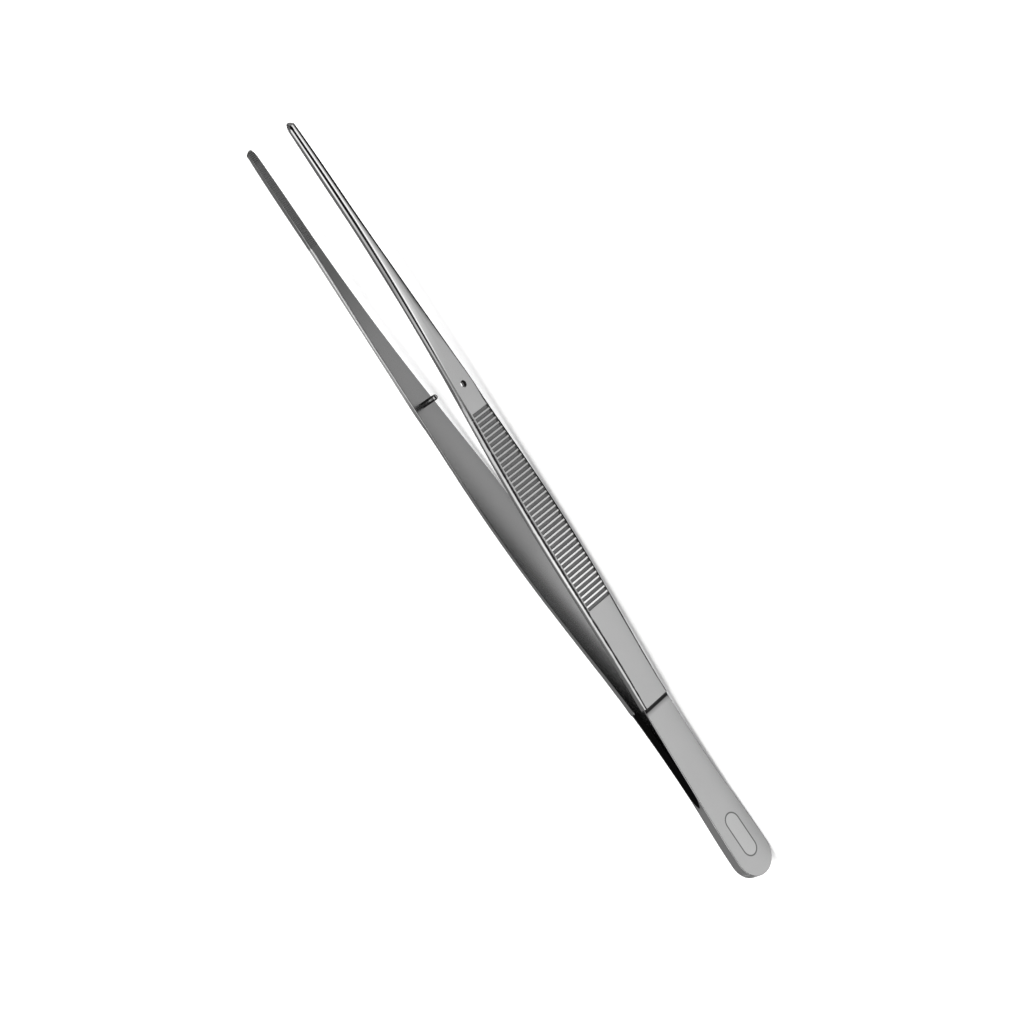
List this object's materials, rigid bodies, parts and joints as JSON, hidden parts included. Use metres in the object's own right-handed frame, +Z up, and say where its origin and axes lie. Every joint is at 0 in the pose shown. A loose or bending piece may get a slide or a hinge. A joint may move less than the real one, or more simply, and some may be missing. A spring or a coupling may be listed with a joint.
{
  "type": "thumb forceps",
  "caption": "Long steel thumb forceps: two spring arms joined at a rounded butt, cross-grooved grips, a guide pin and slender straight jaws.",
  "frame": {"origin": "on the surface that the forceps lie on, under the middle of their length and midway between the arms", "axes": "+X from the butt to the jaws, +Y from the arm with the guide hole to the arm with the guide pin, +Z up, across the width of the arms"},
  "size_m": [0.2008, 0.0188, 0.0112],
  "materials": {
    "satin_steel": "satin, fine matte grain with bright rounded edges",
    "pin_steel": "turned and lightly polished"
  },
  "bodies": {
    "root": {"near_arm": "satin_steel", "far_arm": "satin_steel", "guide_pin": "pin_steel"}
  },
  "joints": []
}
